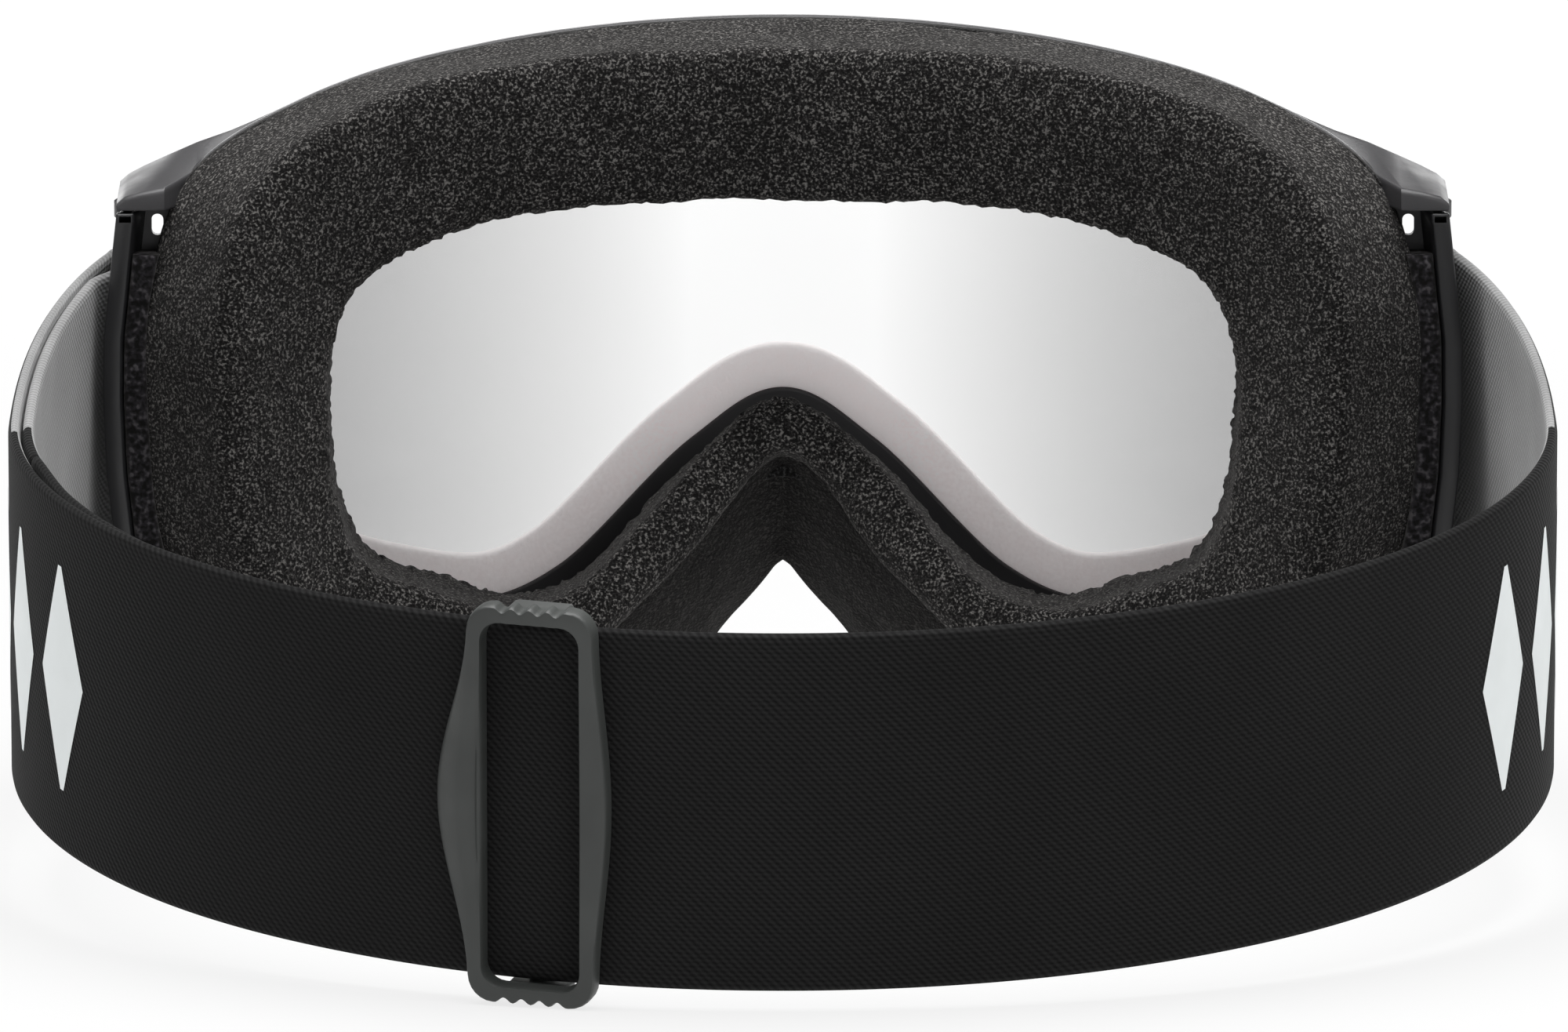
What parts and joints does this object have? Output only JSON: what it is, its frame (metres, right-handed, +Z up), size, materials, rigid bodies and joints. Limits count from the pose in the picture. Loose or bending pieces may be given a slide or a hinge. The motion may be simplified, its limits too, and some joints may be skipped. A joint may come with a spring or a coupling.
{
  "type": "ski goggles",
  "caption": "Snow goggles with a curved double lens, foam-lined soft frame, outriggers and an elastic strap with a slider.",
  "frame": {"origin": "on the surface the goggles stand on, under the middle of the whole object", "axes": "+X to the wearer's left, -Y forwards out through the lens, +Y back round the head, +Z up"},
  "size_m": [0.1914, 0.2064, 0.0965],
  "materials": {
    "frame": "satin moulded soft plastic",
    "outrigger": "satin moulded hard plastic",
    "foam": "open-cell face foam with a napped rear face",
    "foam_base": "firmer closed-cell foam",
    "vent_foam": "coarse reticulated filter foam",
    "strap": "woven elastic webbing with a fine twill",
    "slider": "satin moulded plastic",
    "lens": "clear polished polycarbonate",
    "gasket": "matte foam tape between the two lenses",
    "filter": "porous white membrane"
  },
  "bodies": {
    "frame": {"frame": "frame", "top_vent_foam": "vent_foam", "bottom_vent_foam_left": "vent_foam", "bottom_vent_foam_right": "vent_foam", "side_vent_foam_left": "vent_foam", "side_vent_foam_right": "vent_foam", "foam_base": "foam_base", "face_foam": "foam", "nose_flap_left": "foam", "nose_flap_right": "foam", "outrigger_left": "outrigger", "outrigger_right": "outrigger", "strap_cuff_left": "strap", "strap_cuff_right": "strap"},
    "lens": {"outer_lens": "lens", "inner_lens": "lens", "lens_gasket": "gasket", "pressure_filter": "filter"},
    "strap": {"strap": "strap", "strap_return": "strap"},
    "slider": {"slider": "slider", "slider_loop": "strap"}
  },
  "joints": [
    {"name": "lens_release", "type": "slide", "parent": "frame", "child": "lens", "axis": [0, -1, 0], "range_m": [0, 0.03]},
    {"name": "strap_swing", "type": "hinge", "parent": "frame", "child": "strap", "pos_m": [0, -0.0645, 0.04648], "axis": [1, 0, 0], "range_deg": [-12, 40]},
    {"name": "slider_run", "type": "hinge", "parent": "strap", "child": "slider", "pos_m": [0, -0.00007, 0.03788], "axis": [0, 0.1323, 0.9912], "range_deg": [-5, 15]}
  ]
}
